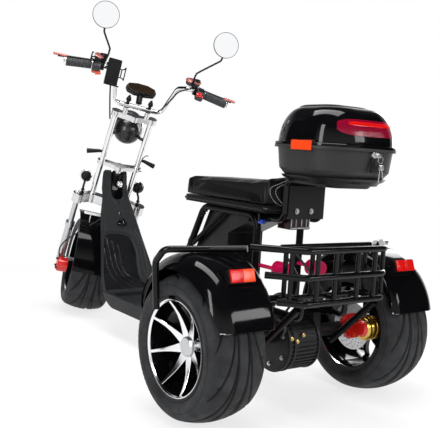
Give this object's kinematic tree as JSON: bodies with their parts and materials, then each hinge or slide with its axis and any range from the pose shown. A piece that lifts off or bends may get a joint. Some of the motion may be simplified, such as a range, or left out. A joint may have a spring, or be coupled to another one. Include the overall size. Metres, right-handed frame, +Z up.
{
  "type": "motorized trike",
  "caption": "Motorized trike with one steered front wheel, bench seat, rear fenders, cargo basket and a lidded top box.",
  "frame": {"origin": "on the floor, at the middle of the outline's width and length", "axes": "+Y forward, +X to the rider's right, +Z up"},
  "size_m": [1.0406, 2.1154, 1.4558],
  "materials": {
    "frame_black": "satin black paint",
    "panel_black": "gloss black",
    "panel_grey": "textured dark grey",
    "battery_black": "satin",
    "vinyl": "grained vinyl",
    "tyre_rubber": "matt",
    "rim_black": "gloss black with bright faces",
    "chrome": "polished",
    "silver": "satin silver",
    "cast_black": "painted black",
    "red_lens": "red lens",
    "lamp_black": "gloss",
    "rubber": "ribbed",
    "caliper_red": "gloss red",
    "mirror": "mirror glass"
  },
  "bodies": {
    "chassis": {"main_frame": "frame_black", "seat_frame": "frame_black", "leg_shield": "panel_grey", "floor_deck": "panel_grey", "battery_box": "battery_black", "seat_base": "battery_black", "seat_cushion": "vinyl", "box_rack": "frame_black", "box_bin": "panel_grey", "left_fender": "panel_black", "right_fender": "panel_black", "fender_lamps": "red_lens", "tail_lamp": "red_lens", "marker_lamps": "red_lens", "guard_bars": "frame_black", "rear_basket": "frame_black", "axle_housing": "cast_black", "drive_motor": "cast_black", "rear_links": "frame_black"},
    "fork": {"steering_stem": "silver", "fork_tubes": "chrome", "top_yoke": "silver", "handlebar": "chrome", "grips": "rubber", "bar_controls": "lamp_black", "mirrors": "mirror", "display": "lamp_black", "phone_holder": "battery_black", "headlamp": "lamp_black", "fog_lamps": "chrome", "turn_signals": "lamp_black", "fork_legs": "silver", "front_axle": "silver", "front_fender": "panel_black", "front_caliper": "caliper_red"},
    "front_wheel": {"front_tyre": "tyre_rubber", "front_rim": "rim_black"},
    "left_wheel": {"left_tyre": "tyre_rubber", "left_rim": "rim_black"},
    "right_wheel": {"right_tyre": "tyre_rubber", "right_rim": "rim_black"},
    "lid": {"box_lid": "panel_black"}
  },
  "joints": [
    {"name": "steering", "type": "hinge", "parent": "chassis", "child": "fork", "pos_m": [0, 0.5925, 0.7], "axis": [0, -0.4648, 0.8854], "range_deg": [-12.8, 57.2]},
    {"name": "front_wheel_spin", "type": "hinge", "parent": "fork", "child": "front_wheel", "pos_m": [-0.00582, 0.81859, 0.23868], "axis": [0.9259, -0.3345, -0.1756], "continuous": true},
    {"name": "left_wheel_spin", "type": "hinge", "parent": "chassis", "child": "left_wheel", "pos_m": [-0.382, -0.7267, 0.2385], "axis": [1, 0, 0], "continuous": true},
    {"name": "right_wheel_spin", "type": "hinge", "parent": "chassis", "child": "right_wheel", "pos_m": [0.382, -0.7267, 0.2385], "axis": [1, 0, 0], "continuous": true},
    {"name": "lid_hinge", "type": "hinge", "parent": "chassis", "child": "lid", "pos_m": [0, -0.7027, 0.89315], "axis": [-1, 0, 0], "range_deg": [0, 75]}
  ]
}
